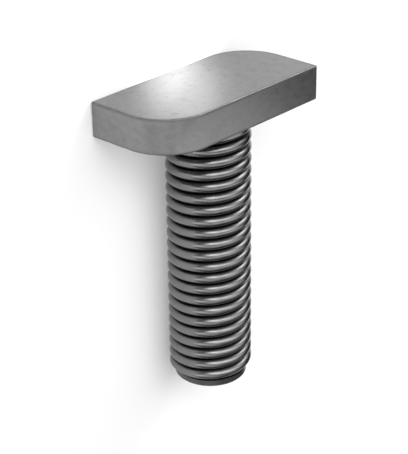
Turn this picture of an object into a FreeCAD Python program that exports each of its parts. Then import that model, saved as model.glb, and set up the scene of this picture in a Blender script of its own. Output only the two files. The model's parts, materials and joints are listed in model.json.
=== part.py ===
import FreeCAD, Part
import Sketcher
import math
import os

# T slot bolt, M12 by 40: a steel bar whose head is forged flat and whose shank is rolled to a thread.
# It is one piece. It is drawn upright, with the underside of its head on z = 0, the head above it
# and the shank below it. Its placement then lays it on its side, the way it comes to rest.
# The shank stands at the thread's outer diameter, which is what a nut or a plate's hole meets.

# Alias, size in mm, what it is
SIZES = (
    ("head_length", 30.0, "Head from end to end, which hooks under both lips of the slot"),
    ("head_width", 14.0, "Head from side to side, which drops in through the mouth of the slot"),
    ("head_thickness", 5.0, "Head from its underside to its top"),
    ("corner_radius", 7.0, "The two corners that lead when the bolt gets its quarter turn"),
    ("edge_radius", 0.2, "Broken edge all round the head"),
    ("shank_diameter", 12.0, "Outer diameter of the thread"),
    ("shank_length", 40.0, "From the underside of the head to the tip"),
    ("neck_radius", 0.6, "Fillet between the shank and the head"),
    ("tip_diameter", 10.4, "Plain end, a little over the thread's core"),
    ("tip_length", 1.0, "Plain end, from the thread's lead-in chamfer to the tip"),
    ("tip_chamfer", 0.2, "Broken edge of the tip"),
)

ORIGIN = FreeCAD.Vector(0, 0, 0)
ALONG_Z = FreeCAD.Vector(0, 0, 1)
# How constraints number the two ends of a line or arc, and a sketch's own axes.
# The horizontal axis starts at the origin.
START, END = range(1, 3)
V_AXIS, H_AXIS = range(-2, 0)


def make_sheet(doc):
    """The spreadsheet of driving sizes, one row for each."""
    sheet = doc.addObject("Spreadsheet::Sheet", "Sizes")
    for row, (alias, size, note) in enumerate(SIZES, start=1):
        sheet.set(f"A{row}", alias)
        sheet.set(f"B{row}", str(size))
        sheet.set(f"C{row}", note)
        sheet.setAlias(f"B{row}", alias)
    doc.recompute()
    return sheet


def origin_plane(body, role):
    """One of the body's own origin planes."""
    return next(feature for feature in body.Origin.OriginFeatures if feature.Role == role)


def new_sketch(body, name, role):
    """An empty sketch on one of the body's origin planes."""
    sketch = body.newObject("Sketcher::SketchObject", name)
    sketch.AttachmentSupport = [(origin_plane(body, role), "")]
    sketch.MapMode = "FlatFace"
    return sketch


def constrain(sketch, kind, *where):
    """A constraint with no size of its own."""
    sketch.addConstraint(Sketcher.Constraint(kind, *where))


def dimension(sketch, kind, where, name, expression, value):
    """A named constraint whose size follows the sheet."""
    index = sketch.addConstraint(Sketcher.Constraint(kind, *where, value))
    sketch.renameConstraint(index, name)
    sketch.setExpression(f"Constraints.{name}", expression)


def head_outline(body, sheet):
    """The head from above: a bar with two opposite corners square and the other two rounded.

    The front left and back right corners are round. They lead when a nut on a right-hand thread
    drags the bolt round, so the head can turn in the slot, and the square corners then stop it
    across the slot.
    """
    half_length = sheet.head_length / 2
    half_width = sheet.head_width / 2
    radius = sheet.corner_radius
    sketch = new_sketch(body, "HeadOutline", "XY_Plane")

    front_left = FreeCAD.Vector(-half_length, -half_width, 0)
    back_left = FreeCAD.Vector(-half_length, half_width, 0)
    front_right = FreeCAD.Vector(half_length, -half_width, 0)
    back_right = FreeCAD.Vector(half_length, half_width, 0)
    step_x = FreeCAD.Vector(radius, 0, 0)
    step_y = FreeCAD.Vector(0, radius, 0)
    quarter = math.pi / 2
    back_centre = back_right - step_x - step_y
    front_centre = front_left + step_x + step_y

    front_side = sketch.addGeometry(Part.LineSegment(front_left + step_x, front_right), False)
    right_end = sketch.addGeometry(Part.LineSegment(front_right, back_right - step_y), False)
    back_circle = Part.Circle(back_centre, ALONG_Z, radius)
    back_round = sketch.addGeometry(Part.ArcOfCircle(back_circle, 0, quarter), False)
    back_side = sketch.addGeometry(Part.LineSegment(back_right - step_x, back_left), False)
    left_end = sketch.addGeometry(Part.LineSegment(back_left, front_left + step_y), False)
    front_circle = Part.Circle(front_centre, ALONG_Z, radius)
    front_round = sketch.addGeometry(Part.ArcOfCircle(front_circle, 2 * quarter, 3 * quarter), False)

    constrain(sketch, "Coincident", front_side, END, right_end, START)
    constrain(sketch, "Tangent", right_end, END, back_round, START)
    constrain(sketch, "Tangent", back_round, END, back_side, START)
    constrain(sketch, "Coincident", back_side, END, left_end, START)
    constrain(sketch, "Tangent", left_end, END, front_round, START)
    constrain(sketch, "Tangent", front_round, END, front_side, START)
    constrain(sketch, "Horizontal", front_side)
    constrain(sketch, "Horizontal", back_side)
    constrain(sketch, "Vertical", right_end)
    constrain(sketch, "Vertical", left_end)
    constrain(sketch, "Equal", back_round, front_round)
    constrain(sketch, "Symmetric", front_side, END, left_end, START, H_AXIS, START)
    corner_to_corner = (back_side, END, front_side, END)
    dimension(sketch, "DistanceX", corner_to_corner, "length", "Sizes.head_length", 2 * half_length)
    upright = (front_side, END, back_side, END)
    dimension(sketch, "DistanceY", upright, "width", "Sizes.head_width", 2 * half_width)
    dimension(sketch, "Radius", (back_round,), "radius", "Sizes.corner_radius", radius)
    return sketch


def shank_profile(body, sheet):
    """Half of the shank's section, for turning about its axis.

    It runs from the axis out along the head's underside, round the neck fillet, down the thread's
    outer diameter, in along the lead-in chamfer, down the plain end and over its broken edge.
    """
    radius = sheet.shank_diameter / 2
    fillet = sheet.neck_radius
    tip_radius = sheet.tip_diameter / 2
    foot = -sheet.shank_length
    tip_top = foot + sheet.tip_length
    thread_foot = tip_top + radius - tip_radius
    broken = sheet.tip_chamfer
    sketch = new_sketch(body, "ShankProfile", "XZ_Plane")

    corners = (
        FreeCAD.Vector(radius, -fillet, 0),
        FreeCAD.Vector(radius, thread_foot, 0),
        FreeCAD.Vector(tip_radius, tip_top, 0),
        FreeCAD.Vector(tip_radius, foot + broken, 0),
        FreeCAD.Vector(tip_radius - broken, foot, 0),
        FreeCAD.Vector(0, foot, 0),
        ORIGIN,
        FreeCAD.Vector(radius + fillet, 0, 0),
    )
    lines = [
        sketch.addGeometry(Part.LineSegment(start, end), False)
        for start, end in zip(corners, corners[1:])
    ]
    barrel, lead_in, plain_end, broken_edge, end_face, axis, underside = lines
    fillet_centre = FreeCAD.Vector(radius + fillet, -fillet, 0)
    fillet_circle = Part.Circle(fillet_centre, ALONG_Z, fillet)
    neck = sketch.addGeometry(Part.ArcOfCircle(fillet_circle, math.pi / 2, math.pi), False)

    for before, after in zip(lines, lines[1:]):
        constrain(sketch, "Coincident", before, END, after, START)
    constrain(sketch, "Tangent", underside, END, neck, START)
    constrain(sketch, "Tangent", neck, END, barrel, START)
    constrain(sketch, "Coincident", axis, END, H_AXIS, START)
    constrain(sketch, "PointOnObject", axis, START, V_AXIS)
    constrain(sketch, "Horizontal", underside)
    constrain(sketch, "Horizontal", end_face)
    constrain(sketch, "Vertical", barrel)
    constrain(sketch, "Vertical", plain_end)

    dimension(sketch, "Radius", (neck,), "neck", "Sizes.neck_radius", fillet)
    from_axis = (H_AXIS, START, barrel, START)
    dimension(sketch, "DistanceX", from_axis, "radius", "Sizes.shank_diameter / 2", radius)
    dimension(sketch, "DistanceY", (axis, START, axis, END), "length", "Sizes.shank_length", -foot)
    from_axis = (H_AXIS, START, plain_end, START)
    dimension(sketch, "DistanceX", from_axis, "tip", "Sizes.tip_diameter / 2", tip_radius)
    above_tip = (end_face, START, plain_end, START)
    dimension(sketch, "DistanceY", above_tip, "plain", "Sizes.tip_length", sheet.tip_length)
    # The lead-in runs at 45 degrees, and so does the broken edge of the tip
    rise = (lead_in, END, lead_in, START)
    lead = "(Sizes.shank_diameter - Sizes.tip_diameter) / 2"
    dimension(sketch, "DistanceY", rise, "lead", lead, radius - tip_radius)
    rise = (broken_edge, END, broken_edge, START)
    dimension(sketch, "DistanceY", rise, "edge_rise", "Sizes.tip_chamfer", broken)
    run = (broken_edge, END, broken_edge, START)
    dimension(sketch, "DistanceX", run, "edge_run", "Sizes.tip_chamfer", broken)
    return sketch


def head_edges(pad):
    """The names of the head's sharp edges: all but the seams where a round corner meets a flat."""
    names = []
    for number, edge in enumerate(pad.Shape.Edges, start=1):
        faces = pad.Shape.ancestorsOfType(edge, Part.Face)
        middle = edge.valueAt((edge.FirstParameter + edge.LastParameter) / 2)
        normals = [face.normalAt(*face.Surface.parameter(middle)) for face in faces]
        if normals[0].getAngle(normals[1]) > 0.1:
            names.append(f"Edge{number}")
    return names


def make_bolt(doc, sheet):
    """The bolt as one body: head, broken edges, then the turned shank."""
    body = doc.addObject("PartDesign::Body", "Bolt")
    body.Label = "t_slot_bolt"

    head = body.newObject("PartDesign::Pad", "Head")
    head.Profile = head_outline(body, sheet)
    head.setExpression("Length", "Sizes.head_thickness")
    doc.recompute()

    edges = body.newObject("PartDesign::Fillet", "HeadEdges")
    edges.Base = (head, head_edges(head))
    edges.setExpression("Radius", "Sizes.edge_radius")
    doc.recompute()

    shank = body.newObject("PartDesign::Revolution", "Shank")
    profile = shank_profile(body, sheet)
    shank.Profile = profile
    shank.ReferenceAxis = (profile, ["V_Axis"])
    shank.Angle = 360
    body.Tip = shank
    doc.recompute()
    return body


def lay_down(body):
    """Lays the bolt on the back side of its head and on the foot of its thread.

    Lying level, the head's side is deeper below the axis than the thread is, so the bolt leans
    until the thread's foot touches too. The lean is where a line that leaves the foot of the
    thread just grazes the round of the head's lower edge. The whole then moves to stand on z = 0,
    with its box centred on the origin.
    """
    edge = "Sizes.edge_radius"
    radius = "(Sizes.shank_diameter / 2)"
    tip_radius = "(Sizes.tip_diameter / 2)"
    half_width = "(Sizes.head_width / 2)"
    thread_foot = f"(Sizes.shank_length - Sizes.tip_length - {radius} + {tip_radius})"
    # From the centre of the edge's round to the foot of the thread, down and along the shank
    drop = f"({half_width} - {edge} - {radius})"
    run = f"({thread_foot} + {edge})"
    lean = f"(acos(-{edge} / sqrt({drop} ^ 2 + {run} ^ 2)) - atan2({run}; {drop}))"
    lift = f"({radius} * cos({lean}) + {thread_foot} * sin({lean}))"
    # How far the head and the tip reach along the floor, each way from the head's underside
    head_reach = (
        f"((Sizes.head_thickness - {edge}) * cos({lean}) + ({half_width} - {edge}) * sin({lean}) + {edge})"
    )
    tip_reach = (
        f"(Sizes.shank_length * cos({lean}) + ({tip_radius} - Sizes.tip_chamfer) * sin({lean}))"
    )
    body.Placement = FreeCAD.Placement(ORIGIN, FreeCAD.Rotation(FreeCAD.Vector(-1, 0, 0), 90))
    body.setExpression("Placement.Rotation.Angle", f"90 deg - {lean}")
    body.setExpression("Placement.Base.y", f"({tip_reach} - {head_reach}) / 2")
    body.setExpression("Placement.Base.z", lift)
    body.Document.recompute()


def check(doc, parts):
    """Stops if any object failed, or if a part isn't a sound single solid."""
    for obj in doc.Objects:
        if "Invalid" in obj.State or "Error" in obj.State:
            raise RuntimeError(f"{obj.Name} failed: {obj.State}")
    for part in parts:
        if part.Shape.isNull() or not part.Shape.isValid():
            raise RuntimeError(f"{part.Label} has no sound shape")
        if len(part.Shape.Solids) != 1:
            raise RuntimeError(f"{part.Label} has {len(part.Shape.Solids)} solids")


def main():
    doc = FreeCAD.newDocument("TSlotBolt")
    sheet = make_sheet(doc)
    bolt = make_bolt(doc, sheet)
    lay_down(bolt)
    check(doc, [bolt])
    os.makedirs("parts", exist_ok=True)
    bolt.Shape.exportStep(f"parts/{bolt.Label}.step")
    box = bolt.Shape.optimalBoundingBox()
    print(f"{bolt.Label}: {bolt.Shape.Volume:.1f} mm3, {len(bolt.Shape.Faces)} faces")
    print(f"x {box.XMin:.3f} to {box.XMax:.3f}, y {box.YMin:.3f} to {box.YMax:.3f}")
    print(f"z {box.ZMin:.3f} to {box.ZMax:.3f}")
    print(f"underside of the head at {bolt.Placement.Base}")


main()
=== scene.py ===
"""The looks of a T slot bolt, M12 by 40, lying on its side on a pale floor.

The bolt is one piece of steel, so it is one closed mesh: a forged oblong head, a shank rolled to a
thread, and a short plain tip. The camera looks at it from where the photograph was taken, seen from
the bolt.
"""

import json
import logging
import math
from collections.abc import Sequence
from dataclasses import dataclass
from enum import Enum

import bpy
import numpy as np
from mathutils import Matrix, Vector


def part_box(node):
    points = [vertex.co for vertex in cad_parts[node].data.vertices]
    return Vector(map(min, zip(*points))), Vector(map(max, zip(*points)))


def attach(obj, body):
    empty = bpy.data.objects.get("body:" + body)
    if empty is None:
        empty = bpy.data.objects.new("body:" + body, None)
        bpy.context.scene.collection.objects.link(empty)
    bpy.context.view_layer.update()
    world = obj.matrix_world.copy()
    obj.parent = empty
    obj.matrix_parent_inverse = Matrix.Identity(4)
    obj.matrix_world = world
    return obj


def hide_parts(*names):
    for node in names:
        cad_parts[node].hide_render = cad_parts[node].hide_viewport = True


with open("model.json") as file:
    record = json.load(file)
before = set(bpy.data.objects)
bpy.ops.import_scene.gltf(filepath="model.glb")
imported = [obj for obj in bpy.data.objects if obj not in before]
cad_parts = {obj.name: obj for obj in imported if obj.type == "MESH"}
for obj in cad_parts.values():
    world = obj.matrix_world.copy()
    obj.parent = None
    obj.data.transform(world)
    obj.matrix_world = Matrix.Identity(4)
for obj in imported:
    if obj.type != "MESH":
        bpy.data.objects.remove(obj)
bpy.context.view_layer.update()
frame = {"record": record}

LOG = logging.getLogger("t_slot_bolt")
MM = 0.001
QUARTER_TURN = math.pi / 2
FULL_TURN = 2 * math.pi
MATERIAL_OUTPUT = "ShaderNodeOutputMaterial"
WORLD_OUTPUT = "ShaderNodeOutputWorld"

# The sockets of a Mix node that blends colours
MIX_SHARE = 0
MIX_FIRST = 6
MIX_SECOND = 7
MIX_BLEND = 2

# The value that a noise field is spread about
NOISE_MIDDLE = 0.5

# The lamps that make pools of light on the floor, in metres and radians
SPOT_SIZE = 0.006
SPOT_BEAM = math.radians(12)

Point = tuple[float, float, float]


# Surface maths


class Field:
    """A number that changes over a surface: an output of a shader node, ready for arithmetic."""

    def __init__(self, graph: "Graph", socket: bpy.types.NodeSocket) -> None:
        """Keeps the socket and the graph that it belongs to."""
        self.graph = graph
        self.socket = socket

    def _math(self, operation: str, first: "Field | float", second: "Field | float") -> "Field":
        """Adds one Math node.

        Args:
            operation: The node's operation.
            first: Its first value.
            second: Its second value.

        Returns:
            The node's result.
        """
        node = self.graph.node("ShaderNodeMath", {"operation": operation}, {0: first, 1: second})
        return Field(self.graph, node.outputs[0])

    def __add__(self, other: "Field | float") -> "Field":
        """Field plus a number or a field."""
        return self._math("ADD", self, other)

    def __radd__(self, other: float) -> "Field":
        """Number plus this field."""
        return self._math("ADD", other, self)

    def __sub__(self, other: "Field | float") -> "Field":
        """Field minus a number or a field."""
        return self._math("SUBTRACT", self, other)

    def __rsub__(self, other: float) -> "Field":
        """Number minus this field."""
        return self._math("SUBTRACT", other, self)

    def __mul__(self, other: "Field | float") -> "Field":
        """Field times a number or a field."""
        return self._math("MULTIPLY", self, other)

    def __rmul__(self, other: float) -> "Field":
        """Number times this field."""
        return self._math("MULTIPLY", other, self)

    def __pow__(self, other: "Field | float") -> "Field":
        """Field to the power of a number or a field."""
        return self._math("POWER", self, other)

    def __rpow__(self, other: float) -> "Field":
        """Number to the power of this field."""
        return self._math("POWER", other, self)

    def at_least(self, floor: float) -> "Field":
        """Field, or this number where the field is lower."""
        return self._math("MAXIMUM", self, floor)


class Graph:
    """The node tree of a material or of the world."""

    def __init__(self, owner: bpy.types.Material | bpy.types.World) -> None:
        """Empties the tree and keeps it.

        Args:
            owner: The material or world that the tree belongs to.
        """
        owner.use_nodes = True
        self.tree = owner.node_tree
        self.tree.nodes.clear()

    def node(
        self,
        kind: str,
        settings: dict[str, object] | None = None,
        sockets: dict[str | int, object] | None = None,
    ) -> bpy.types.Node:
        """Adds a node.

        Args:
            kind: The node's type.
            settings: The node's own settings, which are set before its sockets.
            sockets: A value, a field or another node's output for each input, by name or number.

        Returns:
            The new node.
        """
        node = self.tree.nodes.new(kind)
        for name, value in (settings or {}).items():
            setattr(node, name, value)
        for key, value in (sockets or {}).items():
            source = value.socket if isinstance(value, Field) else value
            if isinstance(source, bpy.types.NodeSocket):
                self.tree.links.new(source, node.inputs[key])
            else:
                node.inputs[key].default_value = source
        return node

    def painted(self, name: str) -> Field:
        """The value that the mesh holds at each of its points under this name."""
        return Field(self, self.node("ShaderNodeAttribute", {"attribute_name": name}).outputs["Fac"])

    def light_path(self, kind: str) -> Field:
        """One for the rays of one kind, and nought for the others."""
        return Field(self, self.node("ShaderNodeLightPath").outputs[kind])

    def grain(self, size: Sequence[float], detail: float, roughness: float) -> Field:
        """Random spots, fixed to the object.

        Args:
            size: How long a spot is along x, y and z, in metres.
            detail: How many finer layers lie over the largest spots.
            roughness: How strong the finer layers are.

        Returns:
            A field that runs from about 0.2 to 0.8.
        """
        place = self.node("ShaderNodeTexCoord").outputs["Object"]
        stretch = tuple(1.0 / length for length in size)
        spots = {0: place, 1: stretch}
        stretched = self.node("ShaderNodeVectorMath", {"operation": "MULTIPLY"}, spots).outputs[0]
        sockets = {"Vector": stretched, "Scale": 1.0, "Detail": detail, "Roughness": roughness}
        return Field(self, self.node("ShaderNodeTexNoise", None, sockets).outputs["Fac"])

    def step(self, value: Field, low: float, high: float) -> Field:
        """A soft step from 0 where value is low to 1 where it is high."""
        settings = {"interpolation_type": "SMOOTHSTEP"}
        sockets = {"Value": value, "From Min": low, "From Max": high}
        return Field(self, self.node("ShaderNodeMapRange", settings, sockets).outputs[0])

    def mix_colour(self, share: Field, first: Sequence[float], second: object) -> bpy.types.NodeSocket:
        """Blends two colours.

        Args:
            share: How much of the second colour there is.
            first: A colour.
            second: A colour, or a socket that gives one.

        Returns:
            The socket of the blend.
        """
        sockets = {MIX_SHARE: share, MIX_FIRST: first, MIX_SECOND: second}
        return self.node("ShaderNodeMix", {"data_type": "RGBA"}, sockets).outputs[MIX_BLEND]

    def output(self, kind: str, surface: bpy.types.Node) -> None:
        """Joins a shader to an output node of this type."""
        self.node(kind, None, {"Surface": surface.outputs[0]})


def grey(level: float) -> tuple[float, float, float, float]:
    """The plain grey of a level from 0 to 1."""
    return (level, level, level, 1.0)


# Finishes of the steel


@dataclass(frozen=True)
class SteelFinish:
    """Bare steel as one process leaves it. Lengths are in metres.

    The painted shade of the thread's groove, a dark colour in place of shade, sets in from one depth of the
    groove to another. The groove is 1 deep at most, so a finish whose painted shade sets in deeper has
    none.
    """

    name: str
    light: float
    dark: float
    worn: float
    groove_shade: float
    groove_shade_from: float
    groove_shade_to: float
    roughness: float
    roughness_spread: float
    worn_rougher: float
    cloud: Point
    grain: Point
    bump: float
    cloud_share: float = 0.55
    grain_share: float = 0.45
    grain_spread_share: float = 0.5
    groove_rougher: float = 0.2

    def material(self) -> bpy.types.Material:
        """Builds the material.

        Returns:
            Steel that is clouded and grained, toned on its worn edges, with painted shade darkening its
            grooves.
        """
        material = bpy.data.materials.new(self.name)
        graph = Graph(material)
        cloud = graph.grain(self.cloud, detail=3.0, roughness=0.55)
        grain = graph.grain(self.grain, detail=2.0, roughness=0.6)
        worn = graph.painted("worn") * graph.step(cloud + grain, low=0.55, high=1.15)
        # Painted shade: how far the thread's groove is darkened, from one depth to another
        groove = graph.step(graph.painted("groove"), self.groove_shade_from, self.groove_shade_to)

        spots = cloud * self.cloud_share + grain * self.grain_share
        mottle = graph.step(spots, low=0.3, high=0.7)
        steel = graph.mix_colour(mottle, grey(self.dark), grey(self.light))
        bright = graph.mix_colour(worn, steel, grey(self.worn))
        # Painted shade: the groove's dark colour laid over the steel's colour
        colour = graph.mix_colour(groove, bright, grey(self.groove_shade))
        roughness = (
            self.roughness
            + (cloud - NOISE_MIDDLE) * self.roughness_spread
            + (grain - NOISE_MIDDLE) * (self.grain_spread_share * self.roughness_spread)
            + worn * self.worn_rougher
            + groove * self.groove_rougher
        )
        relief = {"Strength": 1.0, "Distance": self.bump, "Height": grain}
        normal = graph.node("ShaderNodeBump", None, relief).outputs["Normal"]
        steel_sockets = {
            "Base Color": colour,
            "Metallic": 1.0,
            "Roughness": roughness,
            "Normal": normal,
        }
        graph.output(MATERIAL_OUTPUT, graph.node("ShaderNodeBsdfPrincipled", None, steel_sockets))
        return material


class Finish(Enum):
    """The three finishes of the bolt, in the order of the mesh's material slots."""

    SATIN = SteelFinish(
        name="satin_forged_steel",
        light=0.264,
        dark=0.207,
        worn=0.175,
        groove_shade=0.3,
        groove_shade_from=2.0,
        groove_shade_to=3.0,
        roughness=0.29,
        roughness_spread=0.1,
        worn_rougher=0.25,
        cloud=(1.4e-3, 0.9e-3, 1.1e-3),
        grain=(0.2e-3, 0.16e-3, 0.16e-3),
        bump=0.8e-6,
    )
    ROLLED = SteelFinish(
        name="rolled_thread_steel",
        light=0.205,
        dark=0.158,
        worn=0.205,
        # Painted shade in the groove: nearly black, from shallow to deep
        groove_shade=0.005,
        groove_shade_from=0.15,
        groove_shade_to=0.8,
        roughness=0.24,
        roughness_spread=0.08,
        worn_rougher=-0.02,
        cloud=(2.0e-3, 1.0e-3, 2.0e-3),
        grain=(0.3e-3, 0.06e-3, 0.3e-3),
        bump=1.0e-6,
    )
    TIP = SteelFinish(
        # Darker than the thread's steel, on the plain end, its chamfer and its end face
        name="dark_tip_steel",
        light=0.12,
        dark=0.09,
        worn=0.16,
        groove_shade=0.1,
        groove_shade_from=2.0,
        groove_shade_to=3.0,
        roughness=0.4,
        roughness_spread=0.1,
        worn_rougher=-0.04,
        cloud=(1.2e-3, 1.2e-3, 1.2e-3),
        grain=(0.12e-3, 0.08e-3, 0.12e-3),
        bump=1.5e-6,
    )

    @property
    def slot(self) -> int:
        """The number of the mesh's material slot."""
        return list(Finish).index(self)


# Shapes of the bolt, in millimetres, upright: the underside of the head is at height 0


@dataclass(frozen=True)
class HeadOutline:
    """The head from above, and the columns of points that the whole bolt is skinned on.

    Two opposite corners are square and two are round. The round ones suit a right-hand thread.
    """

    length: float = 30.0
    width: float = 14.0
    round_corner: float = 7.0
    square_corner: float = 0.26
    holding: float = 0.03
    arc_steps: int = 20
    side_steps: int = 34
    corner_steps: int = 4
    end_steps: int = 7

    def columns(self) -> tuple[np.ndarray, np.ndarray]:
        """Lays out one column for each step round the outline.

        Returns:
            The columns' points on the outline, and their outward directions, one row each.
        """
        half = np.array([self.length, self.width]) / 2
        arc_centre = half - self.round_corner
        corner_centre = (half - self.square_corner) * (-1, 1)

        swing = np.linspace(0, QUARTER_TURN, self.arc_steps + 1)
        arc_out = np.column_stack([np.cos(swing), np.sin(swing)])
        arc = arc_centre + self.round_corner * arc_out

        corner_swing = np.linspace(QUARTER_TURN, 2 * QUARTER_TURN, self.corner_steps + 1)
        corner_out = np.column_stack([np.cos(corner_swing), np.sin(corner_swing)])
        corner = corner_centre + self.square_corner * corner_out

        hold_x = corner[0] + (self.holding, 0)
        start, stop = (math.atan2(point[1], point[0]) for point in (arc[-1], hold_x))
        turn = np.linspace(start, stop, self.side_steps + 1)[1:]
        side = np.column_stack([half[1] / np.tan(turn), np.full(turn.size, half[1])])
        side_out = np.tile((0.0, 1.0), (turn.size, 1))

        hold_y = corner[-1] - (0, self.holding)
        start = math.atan2(hold_y[1], hold_y[0])
        turn = np.linspace(start, math.pi - math.atan2(arc[0][1], arc[0][0]), self.end_steps + 1)[:-1]
        end = np.column_stack([np.full(turn.size, -half[0]), -half[0] * np.tan(turn)])
        end_out = np.tile((-1.0, 0.0), (turn.size, 1))

        points = np.vstack([arc, side, corner, end])
        outward = np.vstack([arc_out, side_out, corner_out, end_out])
        return np.vstack([points, -points]), np.vstack([outward, -outward])


@dataclass(frozen=True)
class Thread:
    """A rolled M12 thread: a round-backed ridge that climbs right-handed round the shank.

    At its lower end the ridge fades into a groove above the plain tip.
    """

    pitch: float = 1.75
    crest_radius: float = 6.0
    root_radius: float = 5.08
    crest_height: float = -38.883
    back_sweep: float = math.radians(77)
    rows_per_turn: int = 20
    run_out_top: float = -0.7
    run_out_bottom: float = -1.3
    tip_radius: float = 5.2
    tip_top: float = -39.0
    shoulder: float = 0.04
    end_groove_top: float = -38.25
    end_groove_bottom: float = -38.6
    end_gap: float = 0.1

    @property
    def depth(self) -> float:
        """How deep the groove is."""
        return self.crest_radius - self.root_radius

    def radius(self, angle: np.ndarray, height: np.ndarray) -> np.ndarray:
        """How far the surface is from the axis.

        Args:
            angle: The columns' angles round the axis, in radians.
            height: The columns' heights.

        Returns:
            One radius for each column.
        """
        turns = (height - self.crest_height) / self.pitch - angle / FULL_TURN
        from_crest = np.abs(2 * (turns - np.round(turns)))
        swept = np.sqrt(1 - (from_crest * math.sin(self.back_sweep)) ** 2)
        back = 1 - (1 - swept) / (1 - math.cos(self.back_sweep))
        kept = 1 - soft_step(self.end_groove_top, self.end_groove_bottom, height)
        cut = (1 - back * kept) * soft_step(self.run_out_top, self.run_out_bottom, height)
        ridge = self.crest_radius - self.depth * cut
        rise = soft_step(self.tip_top + self.shoulder, self.tip_top, height)
        core = self.root_radius + (self.tip_radius - self.root_radius) * rise
        lead_in = self.tip_radius + height - self.tip_top
        return np.minimum(lead_in, np.maximum(ridge, core))

    def groove(self, radius: np.ndarray) -> np.ndarray:
        """How deep in the groove each radius is: 0 on the ridge's back and 1 at the root."""
        return np.clip((self.crest_radius - radius) / self.depth, 0, 1)

    def heights(self, turn: np.ndarray, top: float) -> np.ndarray:
        """Lays out the rows of points, which climb with the ridge.

        Below the first of them and above the last, more rows even out to a level ring.

        Args:
            turn: How far round each column is, from 0 to 1.
            top: The height of the level ring at the top.

        Returns:
            The height of each row at each column, one row of numbers for each row of points.
        """
        sweep = np.linspace(-self.back_sweep, self.back_sweep, self.rows_per_turn + 1)[:-1]
        in_ridge = np.sin(sweep) / (2 * math.sin(self.back_sweep))
        # One ridge more than fits at each end, so that none is missed
        ridges = np.arange(math.ceil((top - self.tip_top) / self.pitch) + 2)[:, None] - 1
        start = self.crest_height + self.pitch * (ridges + in_ridge).ravel()
        kept = (start >= self.tip_top + self.end_gap) & (start + self.pitch <= top - self.end_gap)
        climbing = start[kept][:, None] + self.pitch * turn
        share = (np.arange(self.rows_per_turn) / self.rows_per_turn)[:, None]
        below = self.tip_top + (climbing[0] - self.tip_top) * share
        above = top + (climbing[-1] - top) * (1 - share)[:-1]
        return np.vstack([below, climbing, above[1:], np.full((1, turn.size), top)])


def soft_step(start: float, stop: float, value: np.ndarray) -> np.ndarray:
    """A soft step from 0 at start to 1 at stop."""
    share = np.clip((value - start) / (stop - start), 0.0, 1.0)
    return share * share * (3 - 2 * share)


class RingSkin:
    """A closed mesh, skinned over rings of points that lie one above another."""

    def __init__(self, bottom_height: float) -> None:
        """Starts at the point where the axis meets the lowest face.

        Args:
            bottom_height: The height of that point.
        """
        self.bottom_height = bottom_height
        self.rings: list[np.ndarray] = []
        self.finishes: list[Finish] = []
        self.worn: list[np.ndarray] = []
        self.groove: list[np.ndarray] = []
        # The strips of faces that climb with the ridge, by the number of their lower ring
        self.climb = range(0)

    def add(
        self,
        plan: np.ndarray,
        height: float | np.ndarray,
        finish: Finish,
        worn: float | np.ndarray = 0.0,
        groove: float | np.ndarray = 0.0,
    ) -> None:
        """Adds a ring above the last one.

        Args:
            plan: The ring's points from above, one row for each column.
            height: The ring's height, or one height for each column.
            finish: The finish of the faces below this ring.
            worn: How far it is worn, from 0 to 1.
            groove: How deep it lies in the thread's groove, from 0 to 1.
        """
        columns = len(plan)
        self.rings.append(np.column_stack([plan, np.broadcast_to(height, columns)]))
        self.finishes.append(finish)
        self.worn.append(np.broadcast_to(worn, columns))
        self.groove.append(np.broadcast_to(groove, columns))

    def mesh(self, name: str, top_height: float, place: Matrix) -> bpy.types.Mesh:
        """Skins the rings and closes both ends.

        Args:
            name: The mesh's name.
            top_height: The height of the point where the axis meets the highest face.
            place: Takes the upright bolt to where it lies.

        Returns:
            The mesh, in metres, with its finishes and painted values.
        """
        columns = len(self.rings[0])
        ends = [(0.0, 0.0, self.bottom_height), (0.0, 0.0, top_height)]
        points = np.vstack([*self.rings, ends]) * MM
        points = points @ np.array(place.to_3x3()).T + np.array(place.translation)

        mesh = bpy.data.meshes.new(name)
        faces, finishes = self._faces(columns)
        mesh.from_pydata(points.tolist(), [], faces)
        mesh.polygons.foreach_set("material_index", [finish.slot for finish in finishes])
        mesh.polygons.foreach_set("use_smooth", np.ones(len(faces), dtype=bool))
        for label, rings in (("worn", self.worn), ("groove", self.groove)):
            values = np.concatenate([*rings, (0.0, 0.0)]).astype(np.float32)
            mesh.attributes.new(label, "FLOAT", "POINT").data.foreach_set("value", values)
        for finish in Finish:
            mesh.materials.append(finish.value.material())
        mesh.update()
        return mesh

    def _faces(self, columns: int) -> tuple[list[tuple[int, ...]], list[Finish]]:
        """Lists the faces, anticlockwise seen from outside.

        Args:
            columns: How many columns the bolt has.

        Returns:
            The faces as numbers of points, and the finish of each.
        """
        last_ring = len(self.rings) - 1
        bottom = len(self.rings) * columns
        faces: list[tuple[int, ...]] = []
        finishes: list[Finish] = []
        for column in range(columns):
            after = (column + 1) % columns
            faces.append((bottom, after, column))
            faces.append((bottom + 1, last_ring * columns + column, last_ring * columns + after))
            finishes += [self.finishes[0], self.finishes[-1]]
        for ring, finish in enumerate(self.finishes[1:]):
            low = ring * columns
            high = low + columns
            joins_level = ring not in self.climb
            for column in range(columns if joins_level else columns - 1):
                after = (column + 1) % columns
                faces.append((low + column, low + after, high + after, high + column))
                finishes.append(finish)
        seam = self._seam(columns)
        return faces + seam, finishes + [Finish.ROLLED] * len(seam)

    def _seam(self, columns: int) -> list[tuple[int, ...]]:
        """Joins the last column of the climbing rows to the first, where each row is a turn higher.

        Args:
            columns: How many columns the bolt has.

        Returns:
            A strip of triangles.
        """
        heights = np.array([ring[:, 2] for ring in self.rings])
        left = right = self.climb.start
        strip: list[tuple[int, ...]] = []
        while left < self.climb.stop or right < self.climb.stop:
            before = left * columns + columns - 1
            here = right * columns
            left_is_done = left == self.climb.stop
            right_is_done = right == self.climb.stop
            if left_is_done or (not right_is_done and heights[right + 1, 0] < heights[left + 1, -1]):
                right += 1
                strip.append((before, here, here + columns))
            else:
                left += 1
                strip.append((before, here, before + columns))
        return strip


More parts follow.
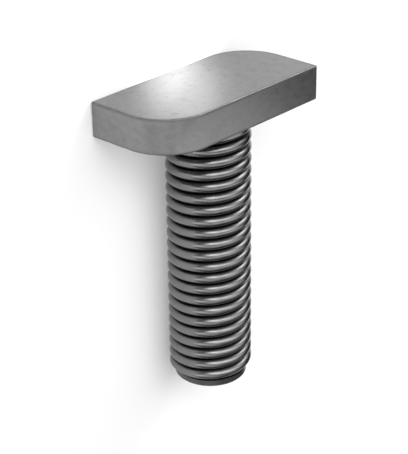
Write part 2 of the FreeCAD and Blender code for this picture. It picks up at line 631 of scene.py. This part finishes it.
@dataclass(frozen=True)
class Bolt:
    """The whole bolt: head, neck, threaded shank and tip.

    The wear of the edges fades out over the two fades, and that of the ridge over the worn share of the
    groove's depth. The shares place the rings between the middle of a flat face and its rim.
    """

    outline: HeadOutline = HeadOutline()
    thread: Thread = Thread()
    head_thickness: float = 5.0
    edge_radius: float = 0.2
    edge_steps: int = 6
    neck_radius: float = 0.6
    shank_length: float = 40.0
    tip_chamfer: float = 0.2
    holding: float = 0.02
    neck_steps: int = 6
    tip_fade: float = 0.15
    head_fade: float = 0.25
    worn_depth: float = 0.25
    end_face_shares: tuple[float, ...] = (0.1, 0.4, 0.7, 0.92)
    head_top_shares: tuple[float, ...] = (0.97, 0.8, 0.6, 0.4, 0.2, 0.06)

    def build(self, place: Matrix) -> bpy.types.Object:
        """Builds the bolt and gives it its finishes.

        Args:
            place: Takes the upright bolt to where it lies.

        Returns:
            The bolt as one object.
        """
        points, outward = self.outline.columns()
        angle = np.arctan2(points[:, 1], points[:, 0])
        circle = np.column_stack([np.cos(angle), np.sin(angle)])
        skin = RingSkin(-self.shank_length)
        self._tip(skin, circle)
        self._shank(skin, circle, angle)
        self._neck(skin, circle)
        self._head(skin, points, outward)
        bolt = bpy.data.objects.new("forged_bolt", skin.mesh("forged_bolt", self.head_thickness, place))
        bpy.context.scene.collection.objects.link(bolt)
        return bolt

    def _tip(self, skin: RingSkin, circle: np.ndarray) -> None:
        """Adds the end face, its broken edge and the plain end.

        Args:
            skin: The skin to add to.
            circle: The columns on a circle of 1 mm.
        """
        foot = -self.shank_length
        rim = self.thread.tip_radius
        flat = rim - self.tip_chamfer
        for share in self.end_face_shares:
            skin.add(circle * (flat * share), foot, Finish.TIP)
        skin.add(circle * (flat - self.holding), foot, Finish.TIP, worn=0.8)
        skin.add(circle * flat, foot, Finish.TIP, worn=1.0)
        skin.add(circle * rim, foot + self.tip_chamfer, Finish.TIP, worn=0.9)
        skin.add(circle * rim, foot + self.tip_chamfer + self.holding, Finish.TIP, worn=0.6)
        skin.add(circle * rim, foot + self.tip_chamfer + self.tip_fade, Finish.TIP)
        skin.add(circle * rim, self.thread.tip_top - self.holding, Finish.TIP)

    def _shank(self, skin: RingSkin, circle: np.ndarray, angle: np.ndarray) -> None:
        """Adds the threaded shank.

        Args:
            skin: The skin to add to.
            circle: The columns on a circle of 1 mm.
            angle: The columns' angles round the axis.
        """
        turn = np.mod(angle / FULL_TURN, 1.0)
        rows = self.thread.heights(turn, -self.neck_radius)
        first = len(skin.rings)
        for height in rows:
            radius = self.thread.radius(angle, height)
            groove = self.thread.groove(radius)
            worn = np.clip(1 - groove / self.worn_depth, 0, 1)
            finish = Finish.TIP if len(skin.rings) == first else Finish.ROLLED
            skin.add(circle * radius[:, None], height, finish, worn, groove)
        skin.climb = range(first, len(skin.rings) - 1)

    def _neck(self, skin: RingSkin, circle: np.ndarray) -> None:
        """Adds the fillet between the shank and the head.

        Args:
            skin: The skin to add to.
            circle: The columns on a circle of 1 mm.
        """
        reach = self.thread.crest_radius + self.neck_radius
        for swing in np.linspace(0, QUARTER_TURN, self.neck_steps + 1)[1:]:
            radius = reach - self.neck_radius * math.cos(swing)
            height = self.neck_radius * (math.sin(swing) - 1)
            skin.add(circle * radius, height, Finish.SATIN)
        skin.add(circle * (reach + self.holding), 0.0, Finish.SATIN)

    def _head(self, skin: RingSkin, points: np.ndarray, outward: np.ndarray) -> None:
        """Adds the head's underside, sides and top, with all its edges broken round.

        Args:
            skin: The skin to add to.
            points: The columns on the head's outline.
            outward: The columns' outward directions.
        """
        edge = self.edge_radius
        top = self.head_thickness

        def ring(inset: float, height: float, worn: float) -> None:
            """Adds a ring that lies inside the outline."""
            skin.add(points - inset * outward, height, Finish.SATIN, worn)

        swings = np.linspace(0, QUARTER_TURN, self.edge_steps + 1)
        ring(edge + self.holding, 0.0, worn=0.5)
        for swing in swings:
            ring(edge * (1 - math.sin(swing)), edge * (1 - math.cos(swing)), worn=1.0)
        ring(0.0, edge + self.holding, worn=0.7)
        for height in (edge + self.head_fade, top / 2, top - edge - self.head_fade):
            ring(0.0, height, worn=0.0)
        ring(0.0, top - edge - self.holding, worn=0.7)
        for swing in swings:
            ring(edge * (1 - math.cos(swing)), top + edge * (math.sin(swing) - 1), worn=1.0)
        ring(edge + self.holding, top, worn=0.6)
        inner = points - (edge + self.holding) * outward
        for share in self.head_top_shares:
            skin.add(inner * share, top, Finish.SATIN)


# Stage, light and camera


@dataclass(frozen=True)
class Floor:
    """The pale floor. Camera, glossy and transmission rays also see a little light of its own."""

    half_size: float = 1.5
    colour: float = 0.8
    lift: float = 0.2

    def build(self) -> bpy.types.Object:
        """Builds the floor, marks it as stage and returns it."""
        half = self.half_size
        corners = [(-half, -half, 0.0), (half, -half, 0.0), (half, half, 0.0), (-half, half, 0.0)]
        mesh = bpy.data.meshes.new("floor")
        mesh.from_pydata(corners, [], [(0, 1, 2, 3)])
        mesh.materials.append(self._material())
        floor = bpy.data.objects.new("floor", mesh)
        bpy.context.scene.collection.objects.link(floor)
        return floor

    def _material(self) -> bpy.types.Material:
        """Matt paper, lifted towards white for the camera and for what reflects it."""
        material = bpy.data.materials.new("pale_floor")
        graph = Graph(material)
        seen = (
            graph.light_path("Is Camera Ray")
            + graph.light_path("Is Glossy Ray")
            + graph.light_path("Is Transmission Ray")
        )
        paper = graph.node("ShaderNodeBsdfDiffuse", None, {"Color": grey(self.colour)})
        glow_sockets = {"Color": grey(1.0), "Strength": seen * self.lift}
        glow = graph.node("ShaderNodeEmission", None, glow_sockets)
        both = graph.node("ShaderNodeAddShader", None, {0: paper.outputs[0], 1: glow.outputs[0]})
        graph.output(MATERIAL_OUTPUT, both)
        return material


@dataclass(frozen=True)
class Softbox:
    """A flat rectangular lamp that faces a point. Lengths are in metres."""

    name: str
    place: Point
    aim: Point
    width: float
    height: float
    radiance: float
    beam: float = math.pi
    shows_in_metal: bool = True

    @classmethod
    def spot(cls, name: str, place: Point, aim: Point, radiance: float) -> "Softbox":
        """Makes a small lamp with a narrow beam, for a pool of light. Metal doesn't show the lamp.

        Args:
            name: The lamp's name.
            place: Where it is.
            aim: The middle of its pool of light.
            radiance: How bright it is.

        Returns:
            The lamp.
        """
        return cls(name, place, aim, SPOT_SIZE, SPOT_SIZE, radiance, SPOT_BEAM, shows_in_metal=False)

    def build(self) -> None:
        """Puts up the lamp. Its brightness doesn't change with its size."""
        lamp = bpy.data.lights.new(self.name, "AREA")
        lamp.shape = "RECTANGLE"
        lamp.size = self.width
        lamp.size_y = self.height
        lamp.spread = self.beam
        lamp.energy = self.radiance * math.pi * self.width * self.height
        holder = bpy.data.objects.new(self.name, lamp)
        towards = Vector(self.aim) - Vector(self.place)
        holder.location = self.place
        holder.rotation_euler = towards.to_track_quat("-Z", "Y").to_euler()
        holder.visible_camera = False
        holder.visible_glossy = self.shows_in_metal
        bpy.context.scene.collection.objects.link(holder)


@dataclass(frozen=True)
class Glow:
    """A soft patch of light in the room, far from the bolt.

    Its azimuth runs from +X to +Y, and the sharper it is, the smaller it is.
    """

    name: str
    azimuth: float
    elevation: float
    strength: float
    sharpness: float

    def light(self, graph: Graph, towards: bpy.types.NodeSocket) -> Field:
        """Adds the glow to the world.

        Args:
            graph: The world's nodes.
            towards: Gives the direction that is looked in.

        Returns:
            How bright the glow is in that direction.
        """
        azimuth, elevation = math.radians(self.azimuth), math.radians(self.elevation)
        level = math.cos(elevation)
        middle = (level * math.cos(azimuth), level * math.sin(azimuth), math.sin(elevation))
        vectors = {0: towards, 1: middle}
        node = graph.node("ShaderNodeVectorMath", {"operation": "DOT_PRODUCT"}, vectors)
        nearness = Field(graph, node.outputs["Value"]).at_least(0.0)
        return nearness**self.sharpness * self.strength


@dataclass(frozen=True)
class Room:
    """The light of the room, which comes from soft glows. The end that the bolt's tip points to is dark."""

    # Name, azimuth and elevation in degrees, strength and sharpness
    glows: tuple[Glow, ...] = (
        Glow("right_window", 45, 12, 11.3, 40),
        Glow("right_wall", 45, 38, 1.0, 12),
        Glow("back_window", 125, 32, 5.5, 40),
        Glow("high_left_window", 140, 52, 1.9, 40),
        Glow("high_back_window", 100, 52, 3.0, 40),
        Glow("ceiling", 72, 66, 1.9, 12),
        Glow("front_ceiling", 288, 66, 0.38, 12),
        Glow("front_wall", 315, 38, 0.31, 12),
        Glow("low_left_wall", 180, 8, 1.95, 12),
        Glow("left_wall", 180, 38, 0.75, 12),
        Glow("front_left_wall", 225, 38, 0.9, 12),
    )

    def build(self) -> None:
        """Sets up the scene's world."""
        world = bpy.data.worlds.new("room")
        graph = Graph(world)
        towards = graph.node("ShaderNodeTexCoord").outputs["Generated"]
        first, *others = (glow.light(graph, towards) for glow in self.glows)
        strength = sum(others, first)
        background = graph.node("ShaderNodeBackground", None, {"Color": grey(1.0), "Strength": strength})
        graph.output(WORLD_OUTPUT, background)
        bpy.context.scene.world = world


@dataclass(frozen=True)
class Studio:
    """The floor, the lamps and the light of the room."""

    floor: Floor = Floor()
    room: Room = Room()
    softboxes: tuple[Softbox, ...] = (
        Softbox(
            name="front_strip",
            place=(0.008, -0.008, 0.052),
            aim=(0.008, 0.022, 0.014),
            width=0.085,
            height=0.022,
            radiance=0.95,
        ),
        Softbox.spot("left_spot", (0.007, 0.046, 0.05), (-0.001, 0.024, 0.0), radiance=3.1),
        Softbox.spot("middle_spot", (0.011, 0.046, 0.05), (0.003, 0.024, 0.0), radiance=2.7),
        Softbox.spot("right_spot", (0.015, 0.052, 0.05), (0.007, 0.03, 0.0), radiance=2.6),
    )

    def build(self) -> None:
        """Sets up the floor, the lamps and the room."""
        self.floor.build()
        for softbox in self.softboxes:
            softbox.build()
        self.room.build()


@dataclass(frozen=True)
class PhotoCamera:
    """The camera, placed from the bolt: lengths in millimetres, from the middle of the head's top."""

    azimuth: float = math.radians(-47.188)
    elevation: float = math.radians(26.526)
    roll: float = math.radians(-0.786)
    distance: float = 199.96
    shift_right: float = -0.441
    shift_up: float = -19.390
    lens: float = 131.0
    sensor: float = 36.0
    nearest: float = 10.0
    farthest: float = 20000.0

    def build(self, place: Matrix, top_height: float) -> None:
        """Sets up the scene's camera.

        Args:
            place: Takes the upright bolt to where it lies.
            top_height: The height of the head's top above its underside.
        """
        level = math.cos(self.elevation)
        back = Vector(
            (math.sin(self.azimuth) * level, -math.cos(self.azimuth) * level, math.sin(self.elevation))
        )
        right = Vector((math.cos(self.azimuth), math.sin(self.azimuth), 0.0))
        turn = Matrix.Rotation(self.roll, 3, back)
        right = turn @ right
        up = back.cross(right)
        stand = back * self.distance + right * self.shift_right + up * self.shift_up
        stand.z += top_height

        data = bpy.data.cameras.new("photo_camera")
        data.sensor_fit = "HORIZONTAL"
        data.sensor_width = self.sensor
        data.lens = self.lens
        data.clip_start = self.nearest * MM
        data.clip_end = self.farthest * MM
        camera = bpy.data.objects.new("photo_camera", data)
        looks = Matrix((right, up, back)).transposed()
        camera.matrix_world = place @ Matrix.Translation(stand * MM) @ looks.to_4x4()
        bpy.context.scene.collection.objects.link(camera)
        bpy.context.scene.camera = camera


def lying_place() -> Matrix:
    """Works out how the bolt lies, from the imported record.

    Returns:
        The matrix that takes the upright bolt, with its head's underside on z = 0, to its place.
    """
    mounts = {mount["name"]: mount for mount in frame["record"]["mounts"]}
    up = -Vector(mounts["thread"]["axis"]).normalized()
    middle = Vector(mounts["thread"]["pos_m"])
    seat = Vector(mounts["head_seat"]["pos_m"])
    underside = middle + up * (seat - middle).dot(up)
    along = Vector((1.0, 0.0, 0.0))
    turn = Matrix((along, up.cross(along), up)).transposed()
    return Matrix.Translation(underside) @ turn.to_4x4()


def fit_to_solid(bolt: bpy.types.Object, node: str) -> None:
    """Gives the bolt exactly the box of its CAD solid.

    The record rounds the mounts off, and this moves the bolt's points by less than 0.001 mm.

    Args:
        bolt: The bolt, laid in its place.
        node: The CAD solid that it stands for.
    """
    lowest, highest = (np.array(corner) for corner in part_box(node))
    vertices = bolt.data.vertices
    points = np.empty(3 * len(vertices))
    vertices.foreach_get("co", points)
    points = points.reshape(-1, 3)
    share = (points - points.min(axis=0)) / np.ptp(points, axis=0)
    vertices.foreach_set("co", (lowest + share * (highest - lowest)).ravel())
    bolt.data.update()


def main() -> None:
    """Builds the bolt, the studio and the camera."""
    logging.basicConfig(level=logging.INFO, format="%(name)s: %(message)s")
    place = lying_place()
    shape = Bolt()
    bolt = shape.build(place)
    fit_to_solid(bolt, "t_slot_bolt")
    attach(bolt, "root")
    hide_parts("t_slot_bolt")
    LOG.info("%s: %d faces", bolt.name, len(bolt.data.polygons))
    Studio().build()
    PhotoCamera().build(place, shape.head_thickness)
    scene = bpy.context.scene
    scene.view_settings.view_transform = "Standard"


if __name__ == "__main__":
    main()
